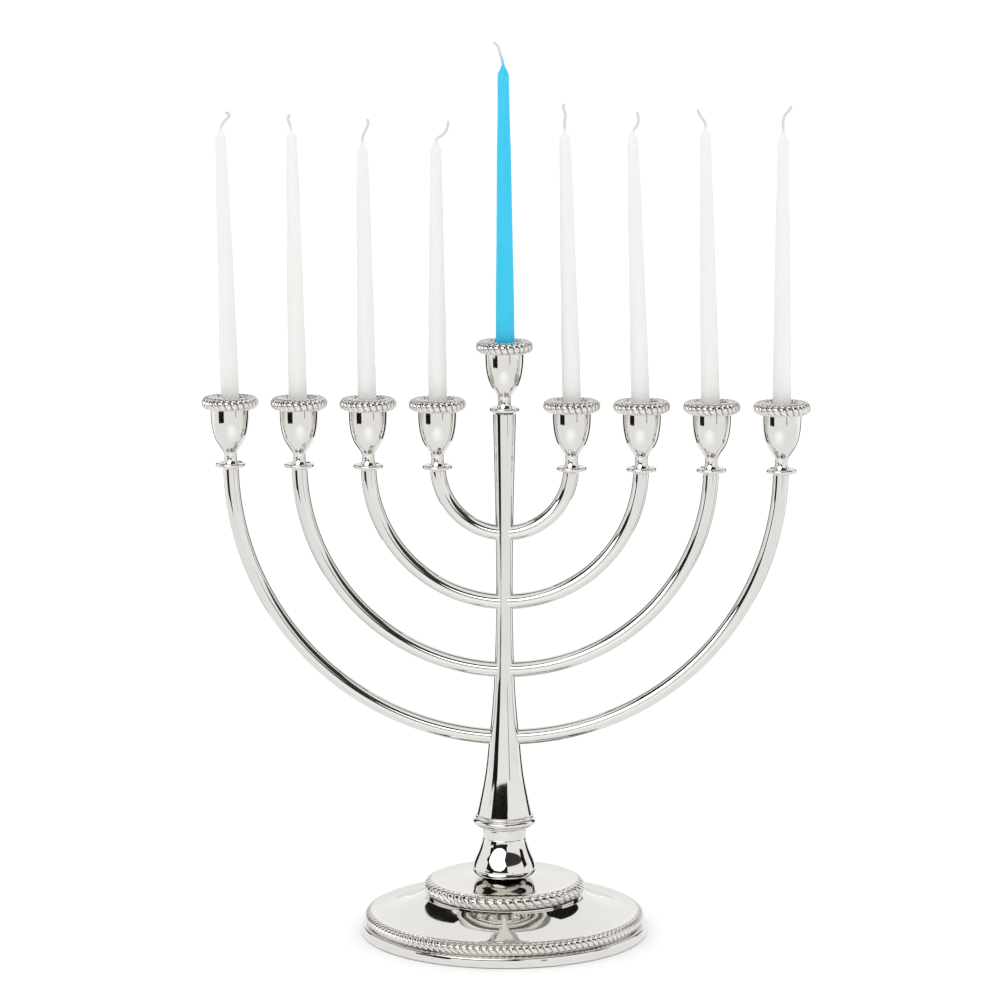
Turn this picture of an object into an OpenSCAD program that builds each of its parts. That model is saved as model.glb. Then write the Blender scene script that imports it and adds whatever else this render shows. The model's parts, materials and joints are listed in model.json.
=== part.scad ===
// Nine-branch candle menorah in silver plate, with eight tapers and a raised servant candle.
// Frame: origin on the standing surface under the stem, +X along the row of candles, +Z up.

/* [Branches] */
// Spacing between neighbouring candles
pitch = 36; // [34:0.5:40]
// Distance of the first side candle from the middle
first_x = 34.8; // [33:0.1:37]
// Diameter of the rod that the branches are bent from
rod_d = 8.4; // [7:0.1:9]
// Height of the branch tips' centre of curvature
tip_z = 246.8; // [240:0.2:260]
// How far the middle cup stands above the others
servant_lift = 30.4; // [20:0.2:40]

/* [Cups] */
// Outer radius of the bowl under its rim
bowl_r = 10.2; // [9.8:0.05:10.6]
// Radius of the bowl's narrow neck
neck_r = 3.3; // [3:0.1:3.5]
// Outer radius of the roped rim
rim_r = 14.85; // [14:0.05:16]
// Radius of the roped rim's section
rim_wire_r = 3.4; // [3.2:0.1:3.6]
// Radius of the candle socket
socket_r = 6; // [5.8:0.1:6.4]
// Radius of the saucer collar under each cup
collar_r = 8; // [7.6:0.1:9]

/* [Candles] */
// Radius of a candle at its foot
candle_r = 5; // [4.8:0.05:5]
// Radius of a candle below its pointed top
candle_top_r = 3.1; // [2.8:0.1:3.6]
// Height of the pointed top
point_h = 3.8; // [3:0.1:5]
// Radius of the waxed wick
wick_r = 0.7; // [0.5:0.05:0.8]

/* [Foot] */
// Outer radius of the smooth skirt at the standing surface
skirt_r = 75; // [74.8:0.1:76]
// Outer radius of the lower rope border
lower_rope_r = 73.2; // [72:0.1:74]
// Radius of the lower rope's section
lower_wire_r = 3.3; // [3:0.1:3.5]
// Outer radius of the upper rope border
upper_rope_r = 42.1; // [41.5:0.1:42.5]
// Radius of the upper rope's section
upper_wire_r = 3.8; // [3.6:0.1:3.9]
// Wall thickness of the two spun foot shells
shell_t = 1.6; // [1.2:0.1:1.8]
// Thickness of the felt under the foot
felt_t = 1.2; // [1:0.1:1.5]

/* [Fixings] */
// Radius of the threaded tie rod through the foot
tie_r = 3; // [2.5:0.1:3]
// Width across flats of the tie nut
nut_af = 10; // [9:0.5:13]
// Radius of the studs that hold the cups
stud_r = 1.5; // [1.2:0.1:1.6]
// Radius of the dowels that locate the branches in the stem
dowel_r = 1.5; // [1.2:0.1:1.6]

/* [Hidden] */
$fn = 96;
pairs = 4;
fit = 0.02;
rod_r = rod_d / 2;
bend_r = wick_r * 1.12;
far = 400;

// Heights of the stacked pieces
collar_seat_z = tip_z - 2.4;
cup_seat_z = tip_z;
rim_z = tip_z + 32.35;
socket_floor_z = tip_z + 16;
candle_foot_z = socket_floor_z + 0.5;
pan_z = tip_z + 30.9;
shell_seat_z = 19.8;
bell_seat_z = 30;
ring_seat_z = 55;
stem_seat_z = 62.6;
lower_rope_z = 8.5;
upper_rope_z = 24.4;
tie_bottom_z = 5;
tie_top_z = 88;
nut_t = 5;
washer_t = 1.6;
washer_r = 11;
stud_depth = 6.5;
stud_rise = 9;
dowel_bite = 5.5;

silver = "silver";
wax_white = "ivory";
wax_blue = "deepskyblue";
wick_cream = "cornsilk";
felt_grey = "dimgray";
steel_grey = "lightslategray";

// Each candle: sideways seat in its socket, lean in degrees towards +X, length to its point
CANDLES = [
    [0.15, -1.39, 157.5],
    [-0.45, -0.95, 157.5],
    [-0.4, -0.8, 151],
    [0.25, -0.32, 152],
    [0.4, -0.42, 160],
    [0.3, -1.66, 157.5],
    [-0.2, -1.99, 157.5],
    [-0.4, -1.6, 159],
    [0, -0.33, 157.5]
];

// Each wick's bent end, sideways and up from the candle's point
WICKS = [
    [[1.2, 2.6], [3, 4.6], [4.6, 6.3], [4.4, 7.7], [2.5, 7.9]],
    [[-0.9, 3.1], [-1.5, 5.2], [-1.2, 6.5], [0.2, 6.9]],
    [[0.8, 3.6], [2.3, 6.8], [3.3, 10.4], [2.8, 12]],
    [[1.3, 1.4], [3.4, 2.7], [5.3, 4.8], [6.3, 7.8], [6.6, 10]],
    [[-0.8, 3.7], [-1.8, 6.8], [-2.9, 10], [-4.9, 11.5]],
    [[0.2, 4.2], [0.5, 7.9], [-0.2, 11.5], [0.1, 13.6]],
    [[2.1, 2.1], [3.1, 5.3], [2.7, 9.4]],
    [[0.2, 2.6], [-1.6, 5.2], [-3.1, 8.4], [-3.8, 9.6]],
    [[0, 5.8], [1.3, 8.9], [3.2, 11], [4.2, 13.1]]
];

// Stem radius and height, from its trumpet foot to its top
STEM = [
    [14.9, stem_seat_z], [13.8, 67], [12.2, 74.5], [10.5, 83], [9.3, 91.5], [8.1, 103],
    [6.75, 117], [5.55, 134], [4.95, 151], [4.5, 168], [4.45, 187], [4.65, 206],
    [4.95, 223], [5.25, 240], [5.75, 257], [6.2, tip_z + servant_lift - 2.4]
];

// Bell knop radius and height
BELL = [
    [9.6, bell_seat_z], [13.8, 30.6], [16.1, 31.9], [16.8, 33.6], [16.6, 35.8], [16, 37.9],
    [15, 40.1], [14.1, 42.3], [13.1, 44.4], [12.3, 46.6], [11.6, 48.7], [11.4, 51],
    [11.4, ring_seat_z]
];

// Double-roll moulding between bell and stem
MOULDING = [
    [11.4, ring_seat_z], [11.5, 55.9], [13.2, 56.2], [14.4, 56.7], [14.6, 57.3], [15.5, 57.6],
    [16.3, 58.3], [16.6, 59.3], [16.3, 60.4], [15.6, 61.1], [15.7, 61.6], [15.5, 62.2],
    [14.9, stem_seat_z]
];

// Concave top of the lower shell, from the rope border up to the land that the upper shell stands on
COVE = [
    [66, 10.3], [62, 11.1], [58, 12.3], [54, 13.7], [50, 15.5], [46, 17.7], [42.8, shell_seat_z]
];

// Cup's bowl: radius, and height above the branch tip, from the neck to the mouth
BOWL = [
    [neck_r, 4.4], [4.1, 7], [5.4, 9.1], [7.3, 12], [8.8, 15.7], [9.7, 20], [bowl_r, 24.8]
];

// Places: n counts the candles from 1 at -X to 9 at +X, and 5 is the servant candle
function arm_x(k) = first_x + (k - 1) * pitch;
function cup_x(n) = n == 5 ? 0 : (n > 5 ? arm_x(n - 5) : -arm_x(5 - n));
function lift(n) = n == 5 ? servant_lift : 0;
function stem_r_at(z) = lookup(z, [for (p = STEM) [p[1], p[0]]]);

// A curve through every point of a list, with n steps between neighbours
function smooth(p, n = 3) = concat(
    [for (i = [0:len(p) - 2]) for (k = [0:n - 1])
        let (a = p[max(i - 1, 0)], b = p[i], c = p[i + 1], d = p[min(i + 2, len(p) - 1)], t = k / n)
        0.5 * (2 * b + (c - a) * t + (2 * a - 5 * b + 4 * c - d) * t * t
            + (3 * b - a - 3 * c + d) * t * t * t)],
    [p[len(p) - 1]]);

function reversed(p) = [for (i = [len(p) - 1:-1:0]) p[i]];

// A solid turned from its outside curve, given from the bottom up
module turned(outside) {
    first = outside[0];
    last = outside[len(outside) - 1];
    rotate_extrude()
        polygon(concat([[0, first[1]]], outside, [[0, last[1]]]));
}

// Rope border, as the ring that its strands fill
module rope_ring(outer_r, wire_r, z) {
    translate([0, 0, z])
        rotate_extrude()
            translate([outer_r - wire_r, 0])
                circle(r = wire_r);
}

module bore(r, z0, z1) {
    translate([0, 0, z0])
        cylinder(r = r, h = z1 - z0);
}

module at_cup(n) {
    translate([cup_x(n), 0, lift(n)])
        children();
}

// Foot: spun lower shell with a smooth skirt, a groove for the rope and a cove up to a flat land
module base_plate() {
    skirt = [[skirt_r, 0.4], [skirt_r - 0.1, 2.4], [skirt_r - 0.45, 4.4], [skirt_r - 0.9, 5.2],
        [skirt_r - 1.6, 5.7]];
    groove_out = lower_rope_r - 0.6;
    groove_in = lower_rope_r - 2 * lower_wire_r - 0.2;
    groove_z = lower_rope_z - lower_wire_r - shell_t;
    outside = concat(skirt, [[groove_out, 6], [groove_in, 6], [groove_in, 10.3]], smooth(COVE));
    inside = concat(
        [[tie_r + fit, shell_seat_z - shell_t], [42.2, shell_seat_z - shell_t]],
        [for (p = reversed(COVE)) if (p[0] > 43 && p[0] < 66) [p[0], p[1] - shell_t]],
        [[groove_in - shell_t, 8.8], [groove_in - shell_t, groove_z], [groove_out - 0.5, groove_z],
         [skirt_r - shell_t, 2.2], [skirt_r - shell_t, 0.4]]);
    color(silver)
        difference() {
            rotate_extrude()
                polygon(concat(outside, [[tie_r + fit, shell_seat_z]], inside));
            rope_ring(lower_rope_r, lower_wire_r, lower_rope_z);
        }
}

module base_rope_border() {
    color(silver)
        rope_ring(lower_rope_r, lower_wire_r, lower_rope_z);
}

// Upper shell: thin flange under the rope, a groove for the rope and a low dome
module upper_tier() {
    flange_r = 41.4;
    groove_in = upper_rope_r - 2 * upper_wire_r - 0.1;
    color(silver)
        difference() {
            rotate_extrude()
                polygon([
                    [flange_r, shell_seat_z], [flange_r, 21], [groove_in, 21], [groove_in, 24.6],
                    [36.4, 27.2], [36.4, 28.3], [30, 28.75], [20, 29.4], [9.8, bell_seat_z],
                    [tie_r + fit, bell_seat_z], [tie_r + fit, bell_seat_z - shell_t],
                    [20, 29.4 - shell_t], [groove_in - shell_t, 28.5 - shell_t],
                    [groove_in - shell_t, shell_seat_z]
                ]);
            rope_ring(upper_rope_r, upper_wire_r, upper_rope_z);
        }
}

module upper_rope_border() {
    color(silver)
        rope_ring(upper_rope_r, upper_wire_r, upper_rope_z);
}

module foot_bell() {
    color(silver)
        difference() {
            turned(smooth(BELL));
            bore(tie_r + fit, bell_seat_z - 1, ring_seat_z + 1);
        }
}

module ring_moulding() {
    color(silver)
        difference() {
            turned(MOULDING);
            bore(tie_r + fit, ring_seat_z - 1, stem_seat_z + 1);
        }
}

// Stem: tapped from below for the tie rod, cross-drilled for the dowels, drilled on top for a stud
module stem_blank() {
    turned(smooth(STEM));
}

module stem() {
    color(silver)
        difference() {
            stem_blank();
            bore(tie_r + fit, stem_seat_z - 1, tie_top_z + 1);
            bore(stud_r + fit, collar_seat_z + servant_lift - stud_depth, far);
            for (k = [1:pairs])
                dowel(k, dowel_r + fit);
        }
}

module felt_pad() {
    color(felt_grey)
        bore(skirt_r - shell_t - 0.3, 0, felt_t);
}

// Fixings inside the foot
module tie_rod() {
    color(steel_grey)
        bore(tie_r, tie_bottom_z, tie_top_z);
}

module tie_washer() {
    top_z = shell_seat_z - shell_t;
    color(steel_grey)
        difference() {
            bore(washer_r, top_z - washer_t, top_z);
            bore(tie_r + fit, 0, far);
        }
}

module tie_nut() {
    top_z = shell_seat_z - shell_t - washer_t;
    color(steel_grey)
        difference() {
            translate([0, 0, top_z - nut_t])
                cylinder(r = nut_af / sqrt(3), h = nut_t, $fn = 6);
            bore(tie_r + fit, 0, far);
        }
}

// Dowel through the stem where the pair k of branches meets it
module dowel(k, r) {
    z = tip_z - arm_x(k);
    reach = stem_r_at(z) + dowel_bite;
    translate([0, 0, z])
        rotate([0, 90, 0])
            cylinder(r = r, h = 2 * reach, center = true);
}

module arm_dowels() {
    color(steel_grey)
        for (k = [1:pairs])
            dowel(k, dowel_r);
}

// Branch: a quarter circle of rod, coped to the stem and drilled at both ends
module arm(k, side) {
    color(silver)
        difference() {
            mirror([side < 0 ? 1 : 0, 0, 0])
                translate([0, 0, tip_z])
                    rotate([90, 0, 0])
                        rotate([0, 0, -90])
                            rotate_extrude(angle = 90)
                                translate([arm_x(k), 0])
                                    circle(r = rod_r);
            translate([-far / 2, -far / 2, collar_seat_z])
                cube(far);
            stem_blank();
            dowel(k, dowel_r + fit);
            translate([side * arm_x(k), 0, 0])
                bore(stud_r + fit, collar_seat_z - stud_depth, far);
        }
}

// Saucer collar that each cup stands on
module collar() {
    difference() {
        rotate_extrude()
            polygon([
                [0, collar_seat_z], [rod_r + 0.3, collar_seat_z], [collar_r - 1.3, tip_z - 1.5],
                [collar_r - 0.4, tip_z - 1.1], [collar_r, tip_z - 0.25], [collar_r - 0.35, tip_z + 0.6],
                [collar_r - 1.1, tip_z + 0.95], [collar_r - 1.9, tip_z + 0.6], [neck_r + 1.4, tip_z],
                [0, tip_z]
            ]);
        bore(stud_r + fit, collar_seat_z - 1, tip_z + 1);
    }
}

module collar_discs() {
    color(silver)
        for (n = [1:9])
            at_cup(n)
                collar();
}

module cup_studs() {
    color(steel_grey)
        for (n = [1:9])
            at_cup(n)
                bore(stud_r, collar_seat_z - stud_depth, cup_seat_z + stud_rise);
}

// Cup: urn-shaped bowl on a narrow neck, with a shallow drip pan around the candle socket
module cup(n) {
    belly = [for (p = smooth(BOWL)) [p[0], tip_z + p[1]]];
    outside = concat([[neck_r + 0.9, cup_seat_z], [neck_r + 0.3, tip_z + 1.6], [neck_r, tip_z + 2.8]],
        belly, [[bowl_r, rim_z + 1.2], [bowl_r - 0.5, rim_z + 1.7]]);
    pan = [[7.8, rim_z + 0.5], [7, pan_z + 0.2], [socket_r, pan_z], [socket_r, socket_floor_z]];
    color(silver)
        at_cup(n)
            difference() {
                rotate_extrude()
                    polygon(concat([[0, cup_seat_z]], outside, pan, [[0, socket_floor_z]]));
                rope_ring(rim_r, rim_wire_r, rim_z);
                bore(stud_r + fit, cup_seat_z - 1, cup_seat_z + stud_rise + 0.2);
            }
}

module cup_rope(n) {
    color(silver)
        at_cup(n)
            rope_ring(rim_r, rim_wire_r, rim_z);
}

// A candle's own frame: foot centre at the origin, its axis along +Z
module in_socket(n) {
    seat = CANDLES[n - 1];
    mid_z = (socket_floor_z + pan_z) / 2;
    at_cup(n)
        translate([seat[0], 0, mid_z])
            rotate([0, seat[1], 0])
                translate([0, 0, candle_foot_z - mid_z])
                    children();
}

module candle(n) {
    length = CANDLES[n - 1][2];
    color(n == 5 ? wax_blue : wax_white)
        in_socket(n)
            difference() {
                turned([
                    [candle_r - 0.3, 0], [candle_r, 0.4], [candle_top_r, length - point_h],
                    [candle_top_r - 0.6, length - point_h + 1.3], [wick_r + 0.2, length]
                ]);
                bore(wick_r + fit, -1, length + 1);
            }
}

// A braided wick bends over in short straight stretches, with a small swelling at each bend
module wick(n) {
    length = CANDLES[n - 1][2];
    path = concat([[0, 0]], WICKS[n - 1]);
    color(wick_cream)
        in_socket(n) {
            bore(wick_r, 0.2, length);
            translate([0, 0, length])
                for (i = [0:len(path) - 2])
                    wick_stretch(path[i], path[i + 1]);
        }
}

module wick_stretch(from, to) {
    run = to - from;
    translate([from[0], 0, from[1]]) {
        sphere(r = bend_r);
        rotate([0, atan2(run[0], run[1]), 0])
            cylinder(r = wick_r, h = norm(run));
    }
}

base_plate();
base_rope_border();
upper_tier();
upper_rope_border();
foot_bell();
ring_moulding();
stem();
felt_pad();
tie_rod();
tie_washer();
tie_nut();
collar_discs();
cup_studs();
arm_dowels();
for (k = [1:pairs]) {
    arm(k, -1);
    arm(k, 1);
}
for (n = [1:9]) {
    cup(n);
    cup_rope(n);
    candle(n);
    wick(n);
}
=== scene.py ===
"""Nine-branch candle menorah in silver plate, with eight white tapers and a raised blue servant taper."""

import json
import math

import bmesh
import bpy
import numpy as np
from mathutils import Matrix, Vector, noise


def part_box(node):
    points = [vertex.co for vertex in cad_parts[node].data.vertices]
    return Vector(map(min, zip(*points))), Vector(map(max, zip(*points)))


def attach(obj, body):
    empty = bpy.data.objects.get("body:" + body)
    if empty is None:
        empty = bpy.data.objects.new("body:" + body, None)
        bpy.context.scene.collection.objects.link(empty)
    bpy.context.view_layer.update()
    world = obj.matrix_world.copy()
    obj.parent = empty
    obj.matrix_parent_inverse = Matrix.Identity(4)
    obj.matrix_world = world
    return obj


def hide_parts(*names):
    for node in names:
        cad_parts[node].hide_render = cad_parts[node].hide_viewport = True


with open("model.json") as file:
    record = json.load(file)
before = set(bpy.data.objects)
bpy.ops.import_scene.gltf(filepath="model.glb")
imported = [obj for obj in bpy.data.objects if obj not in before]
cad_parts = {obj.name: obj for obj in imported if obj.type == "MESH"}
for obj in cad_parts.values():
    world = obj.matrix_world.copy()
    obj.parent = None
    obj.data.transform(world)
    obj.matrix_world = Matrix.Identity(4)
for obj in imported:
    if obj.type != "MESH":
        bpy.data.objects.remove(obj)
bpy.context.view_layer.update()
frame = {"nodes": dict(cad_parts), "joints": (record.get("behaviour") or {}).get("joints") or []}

MM = 0.001
WELD = 2e-6  # points closer than this, in metres, become one
JOINTS = {joint["name"]: joint for joint in frame["joints"]}
CUPS = range(1, 10)
SERVANT = 5
PAIRS = range(1, 5)


# ---------------------------------------------------------------- places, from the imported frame

def bottom_middle(node):
    """Centre of a node's box seen from above, at its lowest z."""
    low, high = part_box(node)
    return Vector(((low.x + high.x) / 2, (low.y + high.y) / 2, low.z))


TIP_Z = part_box("cup_1")[0].z / MM
ROD_R = 4.2
STEM_TOP_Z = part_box("stem")[1].z / MM
STEM_FOOT_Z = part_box("stem")[0].z / MM
RING_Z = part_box("ring_moulding")[0].z / MM
BELL_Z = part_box("foot_bell")[0].z / MM
TIER_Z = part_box("upper_tier")[0].z / MM


# ---------------------------------------------------------------- curves

def flow(points, step=0.5):
    """A curve of continuous curvature through every point, cut into steps of about the given length."""
    points = np.array(points, float)
    reach = np.concatenate([[0], np.cumsum(np.linalg.norm(np.diff(points, axis=0), axis=1))])
    gaps = np.diff(reach)
    count = len(reach)
    left, right = np.eye(count), np.zeros_like(points)
    for i in range(1, count - 1):
        left[i, i - 1:i + 2] = gaps[i - 1], 2 * (gaps[i - 1] + gaps[i]), gaps[i]
        right[i] = 6 * ((points[i + 1] - points[i]) / gaps[i] - (points[i] - points[i - 1]) / gaps[i - 1])
    bend = np.linalg.solve(left, right)
    along = np.linspace(0, reach[-1], max(3, int(reach[-1] / step) + 1))
    i = np.clip(np.searchsorted(reach, along, side="right") - 1, 0, count - 2)
    u, gap = (along - reach[i])[:, None], gaps[i][:, None]
    return (
        (bend[i] * (gap - u) ** 3 + bend[i + 1] * u ** 3) / (6 * gap)
        + (points[i] / gap - bend[i] * gap / 6) * (gap - u)
        + (points[i + 1] / gap - bend[i + 1] * gap / 6) * u
    )


def joined(*curves):
    """Curves run together into one list of points."""
    return np.concatenate([np.array(curve, float) for curve in curves])


def rounded(points, radius=0.25, steps=4):
    """A path whose inner corners are eased by a small radius."""
    points = np.array(points, float)
    out = [points[0]]
    for before, corner, after in zip(points, points[1:], points[2:]):
        into, away = before - corner, after - corner
        cut = min(radius, 0.45 * np.linalg.norm(into), 0.45 * np.linalg.norm(away))
        start = corner + into / np.linalg.norm(into) * cut
        end = corner + away / np.linalg.norm(away) * cut
        for t in np.linspace(0, 1, steps + 1):
            out.append((1 - t) ** 2 * start + 2 * t * (1 - t) * corner + t * t * end)
    out.append(points[-1])
    return np.array(out)


# ---------------------------------------------------------------- meshes

def mark_hollow(mesh, values):
    """Keeps a value for each point of a mesh, which its material reads as hollow."""
    layer = mesh.attributes.new("hollow", "FLOAT", "POINT")
    layer.data.foreach_set("value", np.array(values, np.float32).ravel())


def grid_mesh(name, rows, along=False, sharp=35, hollow=None):
    """A mesh from rows of points in millimetres, closed around each row and, if along, from last row to first.
    Edges steeper than sharp degrees stay crisp, and hollow gives each point a value for its material."""
    rows = np.array(rows, float)
    count, width = rows.shape[:2]
    verts = (rows.reshape(-1, 3) * MM).tolist()
    faces = []
    for i in range(count if along else count - 1):
        for j in range(width):
            a, b = i * width + j, i * width + (j + 1) % width
            c, d = ((i + 1) % count) * width + (j + 1) % width, ((i + 1) % count) * width + j
            faces.append((a, b, c, d))
    mesh = bpy.data.meshes.new(name)
    mesh.from_pydata(verts, [], faces)
    if hollow is not None:
        mark_hollow(mesh, hollow)
    work = bmesh.new()
    work.from_mesh(mesh)
    bmesh.ops.remove_doubles(work, verts=work.verts, dist=WELD)
    bmesh.ops.recalc_face_normals(work, faces=work.faces)
    work.to_mesh(mesh)
    work.free()
    mesh.shade_smooth()
    mesh.set_sharp_from_angle(angle=math.radians(sharp))
    return mesh


def turned(name, profile, segments=128, sharp=35):
    """A surface turned round the stem's axis from radius and height in millimetres."""
    profile = np.array(profile, float)
    turn = np.linspace(0, 2 * math.pi, segments, endpoint=False)
    rows = np.stack([
        profile[:, :1] * np.cos(turn), profile[:, :1] * np.sin(turn),
        np.repeat(profile[:, 1:2], segments, axis=1),
    ], axis=-1)
    return grid_mesh(name, rows, sharp=sharp)


def swept(name, path, radius, segments=32, ridge=None):
    """A rod along a path in the XZ plane. ridge(i, angle) may change its radius at each point."""
    path = np.array(path, float)
    heading = np.gradient(path, axis=0)
    heading /= np.linalg.norm(heading, axis=1)[:, None]
    turn = np.linspace(0, 2 * math.pi, segments, endpoint=False)
    radius = np.broadcast_to(np.array(radius, float), (len(path),))
    rows = []
    for i, (point, ahead) in enumerate(zip(path, heading)):
        out = np.array([ahead[2], 0.0, -ahead[0]])
        across = np.array([0.0, 1.0, 0.0])
        size = radius[i] * (ridge(i, turn) if ridge else np.ones(segments))
        rows.append(point + size[:, None] * (np.cos(turn)[:, None] * out + np.sin(turn)[:, None] * across))
    rows = [np.repeat(path[:1], segments, axis=0)] + rows + [np.repeat(path[-1:], segments, axis=0)]
    return grid_mesh(name, rows, sharp=50)


def piece(name, mesh, material, stands_for=None, body="menorah", at=(0, 0, 0)):
    """Places a mesh as one piece of the menorah, in metres, under its body, and hides the CAD node, if any,
    that it stands for.
    """
    made = bpy.data.objects.new(name, mesh)
    bpy.context.scene.collection.objects.link(made)
    made.location = at
    if not mesh.materials:
        mesh.materials.append(material)
    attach(made, body)
    if stands_for:
        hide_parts(stands_for)


# ---------------------------------------------------------------- finishes

def linear(code):
    """An sRGB hex colour as linear red, green, blue and alpha."""
    parts = [int(code[i:i + 2], 16) / 255 for i in (1, 3, 5)]
    return [c / 12.92 if c <= 0.04045 else ((c + 0.055) / 1.055) ** 2.4 for c in parts] + [1.0]


def add(tree, kind, inputs=None, **settings):
    """Adds a node, with its settings, and fills or links its inputs."""
    made = tree.nodes.new(kind)
    for key, value in settings.items():
        setattr(made, key, value)
    for key, value in (inputs or {}).items():
        if isinstance(value, bpy.types.NodeSocket):
            tree.links.new(value, made.inputs[key])
        else:
            made.inputs[key].default_value = value
    return made


def empty_tree(owner):
    """The node tree of a material or world, with nothing in it."""
    owner.use_nodes = True
    owner.node_tree.nodes.clear()
    return owner.node_tree


def principled(name, **sockets):
    """A material with one Principled shader, whose sockets are given by name with _ for a space."""
    material = bpy.data.materials.new(name)
    tree = empty_tree(material)
    shader = add(tree, "ShaderNodeBsdfPrincipled", {k.replace("_", " "): v for k, v in sockets.items()})
    add(tree, "ShaderNodeOutputMaterial", {"Surface": shader.outputs[0]})
    return material, tree, shader


def into(tree, source, shader, socket):
    """Links a node's output into one of the shader's sockets."""
    tree.links.new(source, shader.inputs[socket])


# Silver plate over brass, buffed to a mirror: a warm near-white metal whose reflections are crisp,
# with the faint haze and very shallow waves that hand buffing leaves.
silver_plate, tree, shader = principled("silver_plate_buffed", Metallic=1.0)
spot = add(tree, "ShaderNodeTexCoord").outputs["Object"]
haze = add(tree, "ShaderNodeTexNoise", {"Vector": spot, "Scale": 1 / 0.012, "Detail": 3.0})
tone = add(tree, "ShaderNodeMix", {
    0: haze.outputs[0], 6: linear("#E0DEDA"), 7: linear("#E8E6E2")}, data_type="RGBA")
into(tree, tone.outputs[2], shader, "Base Color")
gloss = add(tree, "ShaderNodeMapRange", {
    "Value": haze.outputs[0], "From Min": 0.3, "From Max": 0.7, "To Min": 0.035, "To Max": 0.075})
into(tree, gloss.outputs[0], shader, "Roughness")
wave = add(tree, "ShaderNodeTexNoise", {"Vector": spot, "Scale": 1 / 0.006, "Detail": 1.0})
dip = add(tree, "ShaderNodeBump", {"Height": wave.outputs[0], "Strength": 0.25, "Distance": 0.00002})
into(tree, dip.outputs[0], shader, "Normal")

# The same plate on the rope-patterned border wire. The hollows between strands are painted a darker grey, as
# painted shade, and they shine less.
silver_rope, tree, shader = principled("silver_rope_buffed", Metallic=1.0)
spot = add(tree, "ShaderNodeTexCoord").outputs["Object"]
hollow = add(tree, "ShaderNodeAttribute", attribute_name="hollow").outputs["Fac"]
mottle = add(tree, "ShaderNodeTexNoise", {"Vector": spot, "Scale": 1 / 0.003, "Detail": 2.0})
# Painted shade in the hollows between strands, broken up by the mottle
hollow_shade = add(tree, "ShaderNodeMath", {0: hollow, 1: mottle.outputs[0]}, operation="MULTIPLY")
depth = add(tree, "ShaderNodeMath", {0: hollow_shade.outputs[0], 1: 1.6}, operation="MULTIPLY", use_clamp=True)
tone = add(tree, "ShaderNodeMix", {
    0: depth.outputs[0], 6: linear("#E6E3DE"), 7: linear("#5C564E")}, data_type="RGBA")
into(tree, tone.outputs[2], shader, "Base Color")
gloss = add(tree, "ShaderNodeMapRange", {"Value": depth.outputs[0], "To Min": 0.06, "To Max": 0.3})
into(tree, gloss.outputs[0], shader, "Roughness")
dip = add(tree, "ShaderNodeBump", {"Height": mottle.outputs[0], "Strength": 0.3, "Distance": 0.00005})
into(tree, dip.outputs[0], shader, "Normal")


def wax(name, body, deep, scatter):
    """Dipped paraffin taper: satin, faintly translucent, with slow bands left by each dip."""
    material, tree, shader = principled(
        name, Roughness=0.42, IOR=1.44, Subsurface_Weight=0.35, Subsurface_Radius=scatter,
        Subsurface_Scale=0.007)
    spot = add(tree, "ShaderNodeTexCoord").outputs["Object"]
    stretch = add(tree, "ShaderNodeMapping", {"Vector": spot, "Scale": (1, 1, 0.12)})
    bands = add(tree, "ShaderNodeTexNoise", {
        "Vector": stretch.outputs[0], "Scale": 1 / 0.004, "Detail": 2.0})
    tone = add(tree, "ShaderNodeMix", {
        0: bands.outputs[0], 6: linear(body), 7: linear(deep)}, data_type="RGBA")
    into(tree, tone.outputs[2], shader, "Base Color")
    skin = add(tree, "ShaderNodeTexNoise", {
        "Vector": stretch.outputs[0], "Scale": 1 / 0.0025, "Detail": 3.0})
    gloss = add(tree, "ShaderNodeMapRange", {
        "Value": skin.outputs[0], "From Min": 0.3, "From Max": 0.7, "To Min": 0.36, "To Max": 0.5})
    into(tree, gloss.outputs[0], shader, "Roughness")
    dip = add(tree, "ShaderNodeBump", {"Height": skin.outputs[0], "Strength": 0.35, "Distance": 0.0001})
    into(tree, dip.outputs[0], shader, "Normal")
    return material


white_wax = wax("paraffin_white", "#E3E4E2", "#DEDFDC", (1.0, 0.97, 0.92))
blue_wax = wax("paraffin_blue", "#1CC6E6", "#12BADD", (0.15, 0.6, 1.0))


def cotton(name, waxed):
    """Braided cotton wick stiffened with wax: matt, with fine fibres, and the candle's wax at its root."""
    material, tree, shader = principled(
        name, Roughness=0.8, Subsurface_Weight=0.2, Subsurface_Radius=(1, 0.95, 0.9),
        Subsurface_Scale=0.0005)
    spot = add(tree, "ShaderNodeTexCoord").outputs["Object"]
    fibre = add(tree, "ShaderNodeTexNoise", {"Vector": spot, "Scale": 1 / 0.0004, "Detail": 3.0})
    dry = add(tree, "ShaderNodeMix", {
        0: fibre.outputs[0], 6: linear("#DFE0DC"), 7: linear("#BDBDB6")}, data_type="RGBA")
    root = add(tree, "ShaderNodeAttribute", attribute_name="hollow").outputs["Fac"]
    tone = add(tree, "ShaderNodeMix", {
        0: root, 6: dry.outputs[2], 7: linear(waxed)}, data_type="RGBA")
    into(tree, tone.outputs[2], shader, "Base Color")
    dip = add(tree, "ShaderNodeBump", {"Height": fibre.outputs[0], "Strength": 0.5, "Distance": 0.0001})
    into(tree, dip.outputs[0], shader, "Normal")
    return material


wick_white = cotton("cotton_wick_white", "#DCDDDA")
wick_blue = cotton("cotton_wick_blue", "#5CC4EC")

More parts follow.
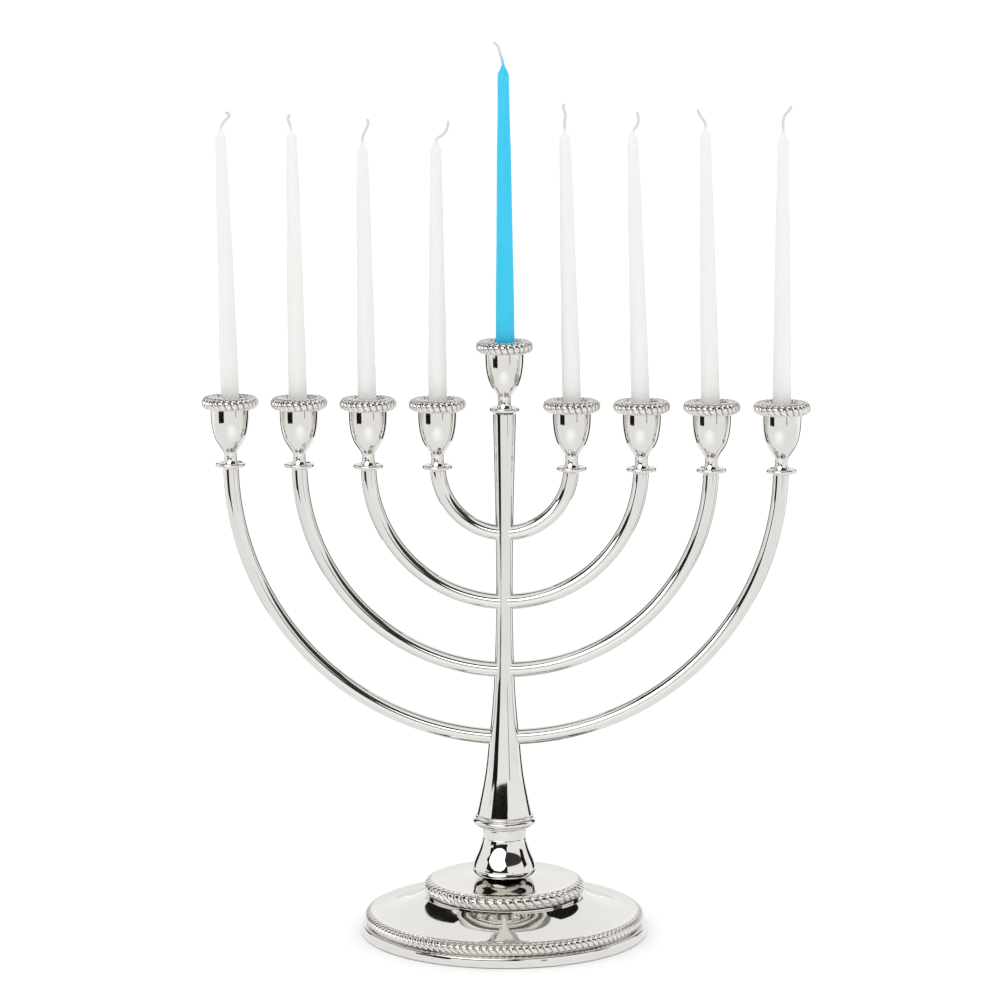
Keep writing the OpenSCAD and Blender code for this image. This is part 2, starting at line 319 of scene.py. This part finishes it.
# Pressed wool felt, charcoal: no weave, short tangled fibres about 0.03 mm thick, drawn coarser.
wool_felt, tree, shader = principled(
    "wool_felt_charcoal", Roughness=0.95, Sheen_Weight=0.3, Sheen_Roughness=0.5)
spot = add(tree, "ShaderNodeTexCoord").outputs["Object"]
fibre = add(tree, "ShaderNodeTexNoise", {
    "Vector": spot, "Scale": 1 / 0.0006, "Detail": 5.0, "Distortion": 1.2})
tone = add(tree, "ShaderNodeMix", {
    0: fibre.outputs[0], 6: linear("#242428"), 7: linear("#4A4A50")}, data_type="RGBA")
into(tree, tone.outputs[2], shader, "Base Color")
nap = add(tree, "ShaderNodeBump", {"Height": fibre.outputs[0], "Strength": 0.8, "Distance": 0.0003})
into(tree, nap.outputs[0], shader, "Normal")

# Zinc-plated steel hardware: grey, fine turning marks and a soft bright-dipped sheen.
zinc_steel, tree, shader = principled("zinc_plated_steel", Metallic=1.0)
spot = add(tree, "ShaderNodeTexCoord").outputs["Object"]
lines = add(tree, "ShaderNodeMapping", {"Vector": spot, "Scale": (1, 1, 6)})
marks = add(tree, "ShaderNodeTexNoise", {"Vector": lines.outputs[0], "Scale": 1 / 0.001, "Detail": 4.0})
tone = add(tree, "ShaderNodeMix", {
    0: marks.outputs[0], 6: linear("#B4B6B8"), 7: linear("#CDCFD0")}, data_type="RGBA")
into(tree, tone.outputs[2], shader, "Base Color")
gloss = add(tree, "ShaderNodeMapRange", {"Value": marks.outputs[0], "To Min": 0.25, "To Max": 0.45})
into(tree, gloss.outputs[0], shader, "Roughness")
dip = add(tree, "ShaderNodeBump", {"Height": marks.outputs[0], "Strength": 0.3, "Distance": 0.00005})
into(tree, dip.outputs[0], shader, "Normal")

for node in ("tie_rod", "tie_washer", "tie_nut", "cup_studs", "arm_dowels"):
    fixing = frame["nodes"][node]
    fixing.data.materials.clear()
    fixing.data.materials.append(zinc_steel)


# ---------------------------------------------------------------- foot, bell, moulding and stem

SKIRT_R, LOWER_ROPE_R, LOWER_WIRE_R = 75.0, 73.2, 3.3
UPPER_ROPE_R, UPPER_WIRE_R = 42.1, 3.8

cove = flow([
    (70.2, 11.9), (69.2, 11.8), (68, 11.25), (66.3, 10.65), (64.5, 10.6), (62, 11.1), (58, 12.3),
    (54, 13.7), (50, 15.5), (46, 17.7), (42.8, TIER_Z)], 0.35)
skirt = joined(flow([(SKIRT_R, 0.5), (74.85, 2.4), (74.55, 4.4), (74.2, 5.1), (73.6, 5.4)], 0.2), [(71.8, 5.4)])
lower_shell = joined(
    [(SKIRT_R - 1.6, 0.4), (SKIRT_R - 0.3, 0.4)], skirt, [(69.9, 5.6), (69.9, 11.75)], cove,
    [(36, TIER_Z), (3.2, TIER_Z)])
piece("foot_lower_shell", turned("foot_lower_shell", lower_shell, 320, 25),
      silver_plate, "base_plate")

dish = flow([
    (38.5, 28.3), (37.3, 28.15), (35.5, 27.75), (32, 27.45), (27, 27.5), (21, 27.95), (16, 28.6),
    (12.5, 29.3), (9, BELL_Z)], 0.35)
upper_shell = joined(
    [(36, TIER_Z), (40.4, TIER_Z), (40.6, TIER_Z + 0.2), (40.6, TIER_Z + 1)],
    [(38.3, TIER_Z + 0.8), (38.3, 28.1)], dish, [(3.2, BELL_Z)])
piece("foot_upper_shell", turned("foot_upper_shell", upper_shell, 256, 25),
      silver_plate, "upper_tier")

bell = joined(
    flow([(9.6, BELL_Z), (13.8, 30.5), (16.1, 31.9), (16.83, 33.7), (16.5, 36), (15.6, 38.8),
          (14.2, 42), (12.95, 45), (12.05, 48), (11.55, 50.5)], 0.3),
    flow([(11.42, 50.7), (11.4, 52.5), (11.4, RING_Z)], 0.4))
piece("bell_knop", turned("bell_knop", bell, 192, 30), silver_plate, "foot_bell")

moulding = joined(
    flow([(11.4, RING_Z), (11.42, 56.1), (11.8, 56.5)], 0.15),
    flow([(12.6, 56.6), (13.9, 56.8), (14.5, 57.3), (14.5, 57.8)], 0.15),
    flow([(14.9, 57.9), (15.9, 58.2), (16.55, 59.1), (16.55, 60.2), (15.9, 61.2), (15.3, 61.6)], 0.12),
    flow([(15.4, 61.75), (15.6, 62.3), (15.4, 62.9), (14.6, 63.3)], 0.12))
piece("double_roll_moulding", turned("double_roll_moulding", moulding, 192, 30),
      silver_plate, "ring_moulding")

stem_side = flow([
    (14.75, STEM_FOOT_Z), (13.75, 67), (12.15, 74.6), (10.5, 83.2), (8.55, 99.8), (6.75, 117.4),
    (5.55, 134.5), (4.9, 151.5), (4.52, 168), (4.45, 187), (4.6, 206), (4.87, 223), (5.22, 240),
    (5.7, 257), (6.2, STEM_TOP_Z)], 1.0)
piece("trumpet_stem", turned("trumpet_stem", joined(stem_side, [(0, STEM_TOP_Z)]), 160, 40),
      silver_plate, "stem")


# ---------------------------------------------------------------- rope borders

def rope(name, outer, wire, height, strands, lay, depth, per_strand, around, bare, lip, blunt):
    """Border wire cast with slanting strands, each between two hollows, which are narrower the higher blunt is.
    A strand starts nearly upright and leans further over on its way down, by about lay strands. It fades into
    the smooth inner side between the two angles of bare, and into the underside between those of lip. The
    angles are in degrees round the wire, with 0 outwards and 90 up."""
    theta = np.linspace(0, 2 * math.pi, strands * per_strand, endpoint=False)[:, None]
    phi = np.linspace(-math.pi, math.pi, around, endpoint=False)[None, :]
    turn = np.degrees(phi)
    down = np.clip(90 - turn, 0, 180) / 130
    shift = strands * theta / (2 * math.pi) - lay * (0.05 * down + 0.8 * down * np.abs(down))
    across = np.abs((shift % 1) * 2 - 1)
    swell = np.sqrt(np.clip(1 - across ** blunt, 0, 1))
    fade = (np.clip((bare[0] - turn) / (bare[0] - bare[1]), 0, 1)
            * np.clip((turn - lip[1]) / (lip[0] - lip[1]), 0, 1))
    fade = fade * fade * (3 - 2 * fade)
    cut = (1 - swell) * fade
    size = wire - depth * cut
    radius = outer - wire + size * np.cos(phi)
    rows = np.stack([
        radius * np.cos(theta), radius * np.sin(theta), height + size * np.sin(phi) + 0 * theta], axis=-1)
    return grid_mesh(name, rows, along=True, sharp=60, hollow=np.clip(cut, 0, 1) ** 2)


lower_rope = rope(
    "foot_lower_rope", LOWER_ROPE_R, LOWER_WIRE_R, height=8.5, strands=128, lay=0.9, depth=1.4,
    per_strand=16, around=44, bare=(128, 96), lip=(-25, -60), blunt=3.5)
piece("foot_lower_rope", lower_rope, silver_rope, "base_rope_border")
upper_rope = rope(
    "foot_upper_rope", UPPER_ROPE_R, UPPER_WIRE_R, height=24.4, strands=54, lay=0.95, depth=1.7,
    per_strand=28, around=56, bare=(128, 96), lip=(-35, -75), blunt=3.5)
piece("foot_upper_rope", upper_rope, silver_rope, "upper_rope_border")


# ---------------------------------------------------------------- branches

def branch(k, side, word):
    """A quarter circle of polished rod from the stem's middle to under its collar."""
    low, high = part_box(f"arm_{word}_{k}")
    bend = TIP_Z - low.z / MM - ROD_R
    end = math.asin((TIP_Z - high.z / MM) / bend)
    turn = np.linspace(0, math.pi / 2 - end, int(bend * 1.6))
    return np.stack([side * bend * np.sin(turn), 0 * turn, TIP_Z - bend * np.cos(turn)], axis=-1)


for k in PAIRS:
    for side, word in ((-1, "left"), (1, "right")):
        rod = swept(f"branch_{word}_{k}", branch(k, side, word), ROD_R, 48)
        piece(f"branch_{word}_{k}", rod, silver_plate, f"arm_{word}_{k}")


# ---------------------------------------------------------------- collars and cups

collar = joined(
    [(0, TIP_Z - 2.4), (4.45, TIP_Z - 2.4)],
    flow([(4.5, TIP_Z - 2.3), (5.3, TIP_Z - 1.95), (6.3, TIP_Z - 1.6), (6.9, TIP_Z - 1.5)], 0.15),
    flow([(6.95, TIP_Z - 1.48), (7.6, TIP_Z - 1.1), (7.97, TIP_Z - 0.3), (7.7, TIP_Z + 0.55),
          (7, TIP_Z + 0.95), (6.3, TIP_Z + 0.8), (5.6, TIP_Z + 0.35), (4.5, TIP_Z + 0.05)], 0.1),
    [(4.2, TIP_Z), (0, TIP_Z)])
collar_mesh = turned("saucer_collar", collar, 96, 40)

RIM_Z, RIM_R, RIM_WIRE_R = TIP_Z + 32.35, 14.85, 3.4
PAN_Z = TIP_Z + 30.9
FLOOR_Z = TIP_Z + 16
bowl = flow([
    (4.2, TIP_Z + 0.1), (3.75, TIP_Z + 1.3), (3.38, TIP_Z + 2.8), (3.3, TIP_Z + 4.6), (3.6, TIP_Z + 6.1),
    (4.6, TIP_Z + 7.9), (6.05, TIP_Z + 10), (7.35, TIP_Z + 12.1), (8.3, TIP_Z + 14.2), (9, TIP_Z + 16.5),
    (9.7, TIP_Z + 20), (10.1, TIP_Z + 24), (10.2, TIP_Z + 27.5), (10.2, RIM_Z + 1)], 0.3)
pan = flow([(8.6, RIM_Z + 1), (7.9, RIM_Z + 0.3), (7.1, PAN_Z + 0.3), (6.4, PAN_Z)], 0.2)
cup_profile = joined(
    [(0, TIP_Z), (3.9, TIP_Z)], bowl, [(9.6, RIM_Z + 1.6)], pan,
    [(6.05, PAN_Z - 0.15), (6, PAN_Z - 0.6), (6, FLOOR_Z), (0, FLOOR_Z)])
cup_mesh = turned("urn_cup", cup_profile, 128, 40)
rim_mesh = rope(
    "cup_rope", RIM_R, RIM_WIRE_R, height=RIM_Z, strands=26, lay=0.5, depth=1.5,
    per_strand=24, around=48, bare=(190, 150), lip=(-80, -120), blunt=3)

for n in CUPS:
    at = bottom_middle(f"cup_{n}") - Vector((0, 0, TIP_Z * MM))
    piece(f"urn_cup_{n}", cup_mesh, silver_plate, f"cup_{n}", at=at)
    piece(f"roped_rim_{n}", rim_mesh, silver_rope, f"cup_rope_{n}", at=at)
    piece(f"saucer_collar_{n}", collar_mesh, silver_plate,
          "collar_discs" if n == 1 else None, at=at)


# ---------------------------------------------------------------- tapers and wicks

# Each wick's bent end, sideways and up from the candle's point, in millimetres
WICK_BENDS = [
    [(1.2, 2.6), (3, 4.6), (4.6, 6.3), (4.4, 7.7), (2.5, 7.9)],
    [(-0.9, 3.1), (-1.5, 5.2), (-1.2, 6.5), (0.2, 6.9)],
    [(0.8, 3.6), (2.3, 6.8), (3.3, 10.4), (2.8, 12)],
    [(1.3, 1.4), (3.4, 2.7), (5.3, 4.8), (6.3, 7.8), (6.6, 10)],
    [(-0.8, 3.7), (-1.8, 6.8), (-2.9, 10), (-4.9, 11.5)],
    [(0.2, 4.2), (0.5, 7.9), (-0.2, 11.5), (0.1, 13.6)],
    [(2.1, 2.1), (3.1, 5.3), (2.7, 9.4)],
    [(0.2, 2.6), (-1.6, 5.2), (-3.1, 8.4), (-3.8, 9.6)],
    [(0, 5.8), (1.3, 8.9), (3.2, 11), (4.2, 13.1)],
]


def taper_mesh(name, length, seed):
    """A dipped taper from its foot up: nearly straight sides, a round shoulder and a point at the wick."""
    side = flow([
        (4.95, 0.8), (4.9, 8), (4.78, 25), (4.6, 46), (4.3, 68), (3.95, 92), (3.6, 115),
        (3.2, 135), (2.9, length - 6.5)], 1.0)
    shoulder = flow([(2.86, length - 5.4), (2.6, length - 3.9), (1.9, length - 2.5), (1.2, length - 1.1),
                     (0.72, length + 0.2)], 0.25)
    profile = joined([(0, 0), (4.5, 0), (4.8, 0.15)], side, shoulder, [(0, length + 0.25)])
    turn = np.linspace(0, 2 * math.pi, 64, endpoint=False)
    rows = []
    for r, z in profile:
        swell = 0.14 * noise.noise(Vector((seed * 7.3, z / 22, 0.5))) * min(r / 3, 1)
        drift = 0.12 * noise.noise(Vector((seed * 3.1 + 40, z / 45, 2.5))) * min(z / 30, 1)
        rows.append(np.stack([
            (r + swell) * np.cos(turn) + drift, (r + swell) * np.sin(turn), z + 0 * turn], axis=-1))
    return grid_mesh(name, rows, sharp=60)


WICK_R, WICK_STEP = 0.78, 0.12


def wick_mesh(name, bends, length, waxed_to):
    """Three cotton yarns twisted into a wick, on a smooth path from inside the taper to its bent end."""
    path = flow([(0, 0, length - 3), (0, 0, length - 0.5)]
                + [(a, 0, length + b) for a, b in bends], WICK_STEP)
    count = len(path)
    reach = np.arange(count) * WICK_STEP
    fray = np.clip((count - np.arange(count)) / 6, 0.3, 1) ** 0.5

    def yarns(i, turn):
        return 1 + 0.1 * np.abs(np.cos(1.5 * turn + reach[i] * 1.9)) - 0.05

    mesh = swept(name, path, WICK_R * fray, 24, yarns)
    heights = np.array([v.co.z / MM - length for v in mesh.vertices])
    mark_hollow(mesh, np.clip(1 - heights / waxed_to, 0, 1))
    return mesh


for n in CUPS:
    lean = Vector(JOINTS[f"candle_{n}_lift"]["axis"]).normalized()
    low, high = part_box(f"candle_{n}")
    radius = (high.y - low.y) / 2
    foot = Vector((high.x - radius * lean.z, 0, low.z + (radius - 0.3 * MM) * abs(lean.x)))
    length = (high.z - foot.z) / lean.z / MM
    stand = Matrix.Translation(foot) @ Vector((0, 0, 1)).rotation_difference(lean).to_matrix().to_4x4()
    blue = n == SERVANT
    taper = taper_mesh(f"taper_{n}", length, n)
    taper.transform(stand)
    piece(f"dipped_taper_{n}", taper, blue_wax if blue else white_wax,
          f"candle_{n}", f"taper_{n}")
    wick = wick_mesh(f"wick_{n}", WICK_BENDS[n - 1], length, 7.0 if blue else 2.0)
    wick.transform(stand)
    piece(f"bent_wick_{n}", wick, wick_blue if blue else wick_white,
          f"wick_{n}", f"taper_{n}")

felt_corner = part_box("felt_pad")[1]
FELT_R, FELT_Z = felt_corner.x / MM, felt_corner.z / MM
felt_profile = rounded([(0, 0), (FELT_R, 0), (FELT_R, FELT_Z), (0, FELT_Z)], 0.4)
piece("felt_disc", turned("felt_disc", felt_profile, 256, 60), wool_felt, "felt_pad")


# ---------------------------------------------------------------- studio

def plain(name, shade, strength=1.0):
    """A studio card that only shines evenly."""
    material = bpy.data.materials.new(name)
    tree = empty_tree(material)
    light = add(tree, "ShaderNodeEmission", {"Color": linear(shade), "Strength": strength})
    add(tree, "ShaderNodeOutputMaterial", {"Surface": light.outputs[0]})
    return material


def stage_mesh(name, verts, faces, material, only_gloss=True):
    """Part of the studio, in metres. With only_gloss it is seen in reflections alone."""
    mesh = bpy.data.meshes.new(name)
    mesh.from_pydata([tuple(v) for v in verts], [], faces)
    mesh.materials.append(material)
    made = bpy.data.objects.new(name, mesh)
    bpy.context.scene.collection.objects.link(made)
    if only_gloss:
        made.visible_camera = False
        made.visible_diffuse = False
        made.visible_transmission = False
        made.visible_shadow = False


def board(name, corner_a, corner_b, low, high, material):
    """An upright board between two places on the floor, given in metres."""
    (ax, ay), (bx, by) = corner_a, corner_b
    stage_mesh(name, [(ax, ay, low), (bx, by, low), (bx, by, high), (ax, ay, high)],
               [(0, 1, 2, 3)], material)


def on_dome(radius, turn, rise):
    """A point on a dome. The turn is 0 towards the front (-Y) and grows towards +X, in degrees."""
    turn, rise = math.radians(turn), math.radians(rise)
    return (radius * math.sin(turn) * math.cos(rise), -radius * math.cos(turn) * math.cos(rise),
            radius * math.sin(rise))


def dome_patch(name, turn_from, turn_to, rise_from, rise_to, material):
    """Part of the dome of cards round the object, between two turns and two rises."""
    steps = max(2, (turn_to - turn_from) // 4)
    lifts = max(2, int((rise_to - rise_from) / 4))
    verts = [
        on_dome(DOME_R, turn_from + (turn_to - turn_from) * j / steps,
                rise_from + (rise_to - rise_from) * i / lifts)
        for i in range(lifts + 1) for j in range(steps + 1)]
    corners = [i * (steps + 1) + j for i in range(lifts) for j in range(steps)]
    stage_mesh(name, verts, [(a, a + 1, a + steps + 2, a + steps + 1) for a in corners], material)


DOME_R, SOFTBOX_R = 2.4, 1.9

white_card = plain("card_white", "#FFFFFF")
grey_card = plain("card_grey", "#8E8C89")
mid_card = plain("card_mid", "#66615C")
dim_card = plain("card_dim", "#3C3836")
black_card = plain("card_black", "#1A1817")
softbox = plain("softbox_cloth", "#FFFFFF", 2.5)

# Plain pale floor
floor_paint, tree, shader = principled("floor_paint", Base_Color=linear("#F6F6F6"), Roughness=0.9)
shader.inputs["Specular IOR Level"].default_value = 0.0
stage_mesh("floor", [(-30, -30, 0), (30, -30, 0), (30, 30, 0), (-30, 30, 0)], [(0, 1, 2, 3)],
           floor_paint, only_gloss=False)

dome_patch("wall_front", -100, 100, 0, 9, white_card)
dome_patch("wall_left", -100, -52, 9, 12.6, white_card)
dome_patch("wall_left_upper", -100, -66, 12.6, 25, white_card)
dome_patch("wall_right", 20, 100, 9, 12.6, white_card)
dome_patch("wall_right_upper", 16, 82, 12.6, 25, white_card)
dome_patch("wall_back", 100, 260, 0, 58, white_card)
dome_patch("wall_back_top", 130, 230, 58, 62, grey_card)
dome_patch("ceiling_back", 100, 260, 62, 90, mid_card)
dome_patch("ceiling_front", -80, 100, 54, 90, white_card)
dome_patch("ceiling_right", 12, 82, 25, 50, dim_card)

# A large lobed softbox above the left front, by the turn and rise of its corners
softbox_edge = [(-20, 14), (2, 20), (12, 27), (8, 34), (-25, 46), (-50, 38), (-63, 28), (-45, 19)]
stage_mesh("overhead_softbox", [on_dome(SOFTBOX_R, turn, rise) for turn, rise in softbox_edge],
           [tuple(range(len(softbox_edge)))], softbox)
board("board_front", (-1.18, -0.92), (0.46, -1.43), 0.25, 0.39, black_card)
board("left_stand", (-0.80, -0.63), (-0.62, -0.79), 0, 0.3, black_card)
board("left_screen", (-0.94, -0.38), (-0.60, -0.80), 0.02, 0.17, black_card)
board("right_strip", (0.72, -1.12), (0.82, -1.06), 0, 0.2, grey_card)
board("left_flag", (-0.33, 0.2), (-0.33, 0.42), 0, 0.78, black_card)
board("right_flag", (0.33, 0.24), (0.33, 0.5), 0, 0.78, black_card)

# A pool of light on the floor in front of the foot, brightest at its middle and fading out all round
pool = bpy.data.materials.new("floor_light")
tree = empty_tree(pool)
spot = add(tree, "ShaderNodeNewGeometry").outputs["Position"]
reach = add(tree, "ShaderNodeVectorMath", {0: spot, 1: (0, -0.5, 0)}, operation="DISTANCE")
level = add(tree, "ShaderNodeMapRange", {
    "Value": reach.outputs["Value"], "From Min": 0.0, "From Max": 0.42, "To Min": 1.22, "To Max": 0.95},
    interpolation_type="SMOOTHSTEP")
light = add(tree, "ShaderNodeEmission", {"Color": linear("#FFFFFF"), "Strength": level.outputs[0]})
add(tree, "ShaderNodeOutputMaterial", {"Surface": light.outputs[0]})
stage_mesh("floor_pool", [(-2.2, -2.3, 0.001), (2.2, -2.3, 0.001), (2.2, 0.3, 0.001), (-2.2, 0.3, 0.001)],
           [(0, 1, 2, 3)], pool)

# Room light: white to the eye and to matt surfaces, dark above the walls in reflections
world = bpy.data.worlds.new("studio")
bpy.context.scene.world = world
tree = empty_tree(world)
path = add(tree, "ShaderNodeLightPath")
room = add(tree, "ShaderNodeBackground", {"Color": linear("#FFFFFF"), "Strength": 1.2})
ceiling = add(tree, "ShaderNodeBackground", {"Color": linear("#1C1B1A"), "Strength": 1.0})
seen = add(tree, "ShaderNodeMixShader", {
    0: path.outputs["Is Glossy Ray"], 1: room.outputs[0], 2: ceiling.outputs[0]})
add(tree, "ShaderNodeOutputWorld", {"Surface": seen.outputs[0]})


# ---------------------------------------------------------------- camera

bpy.context.scene.view_settings.view_transform = "Standard"
camera = bpy.data.objects.new("camera", bpy.data.cameras.new("camera"))
bpy.context.scene.collection.objects.link(camera)
bpy.context.scene.camera = camera
camera.location = (0.15303, -1.96964, 0.53999)
aim = Vector((-0.00233, 0, 0.22954))
camera.rotation_euler = (aim - camera.location).to_track_quat("-Z", "Y").to_euler()
camera.data.lens = 138.94
camera.data.sensor_width = 36
camera.data.clip_end = 100
